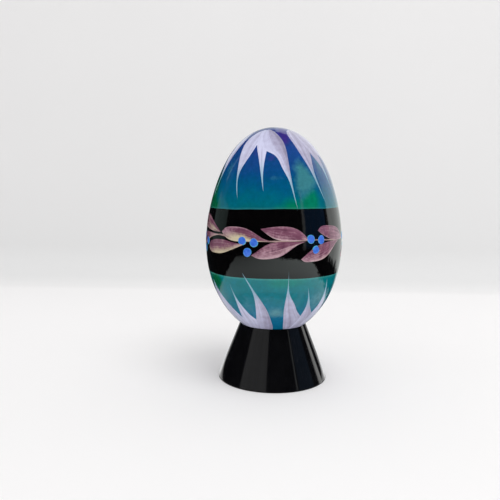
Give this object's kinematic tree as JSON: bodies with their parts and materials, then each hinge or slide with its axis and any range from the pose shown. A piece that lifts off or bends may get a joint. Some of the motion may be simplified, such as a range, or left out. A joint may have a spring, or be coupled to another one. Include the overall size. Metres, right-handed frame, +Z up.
{
  "type": "painted egg on a stand",
  "caption": "Blown goose egg, painted and lacquered with petal sprays and a leaf-and-berry garland on a black band, standing loose in a dished gloss-black cone.",
  "frame": {"origin": "centre of the stand's foot, on the surface that it stands on", "axes": "+Z up along the egg's and the stand's common axis; -Y is the front, where the petals open on the blue stripe; +X is the viewer's right"},
  "size_m": [0.0575, 0.0575, 0.1053],
  "materials": {
    "stand_gloss": "moulded, polished gloss black",
    "shell": "natural eggshell, matte",
    "membrane": "dried shell membrane, matte",
    "wax": "beeswax, satin",
    "lower_ground_paint": "brushed paint under clear gloss lacquer",
    "band_paint": "black paint under clear gloss lacquer",
    "upper_ground_paint": "brushed paint under clear gloss lacquer",
    "stem_paint": "brushed paint under clear gloss lacquer",
    "petal_paint": "streaky brushed paint under clear gloss lacquer",
    "leaf_paint": "brushed two-tone paint under clear gloss lacquer",
    "berry_paint": "dotted paint under clear gloss lacquer"
  },
  "bodies": {
    "stand": {"stand": "stand_gloss"},
    "egg": {"eggshell": "shell", "shell_membrane": "membrane", "blow_hole_plug": "wax", "lower_ground_coat": "lower_ground_paint", "black_band_coat": "band_paint", "upper_ground_coat": "upper_ground_paint", "garland_stem": "stem_paint", "upper_petals_1": "petal_paint", "upper_petals_2": "petal_paint", "upper_petals_3": "petal_paint", "upper_petals_4": "petal_paint", "upper_petals_5": "petal_paint", "lower_petals_1": "petal_paint", "lower_petals_2": "petal_paint", "lower_petals_3": "petal_paint", "lower_petals_4": "petal_paint", "lower_petals_5": "petal_paint", "upper_leaf_1": "leaf_paint", "lower_leaf_1": "leaf_paint", "upper_leaf_2": "leaf_paint", "lower_leaf_2": "leaf_paint", "upper_leaf_3": "leaf_paint", "lower_leaf_3": "leaf_paint", "upper_leaf_4": "leaf_paint", "lower_leaf_4": "leaf_paint", "upper_leaf_5": "leaf_paint", "lower_leaf_5": "leaf_paint", "upper_leaf_6": "leaf_paint", "lower_leaf_6": "leaf_paint", "upper_leaf_7": "leaf_paint", "lower_leaf_7": "leaf_paint", "berries_1": "berry_paint", "berries_2": "berry_paint", "berries_3": "berry_paint", "berries_4": "berry_paint", "berries_5": "berry_paint", "berries_6": "berry_paint", "berries_7": "berry_paint"}
  },
  "joints": [
    {"name": "egg_lift", "type": "slide", "parent": "stand", "child": "egg", "axis": [0, 0, 1], "range_m": [0, 0.06]}
  ]
}
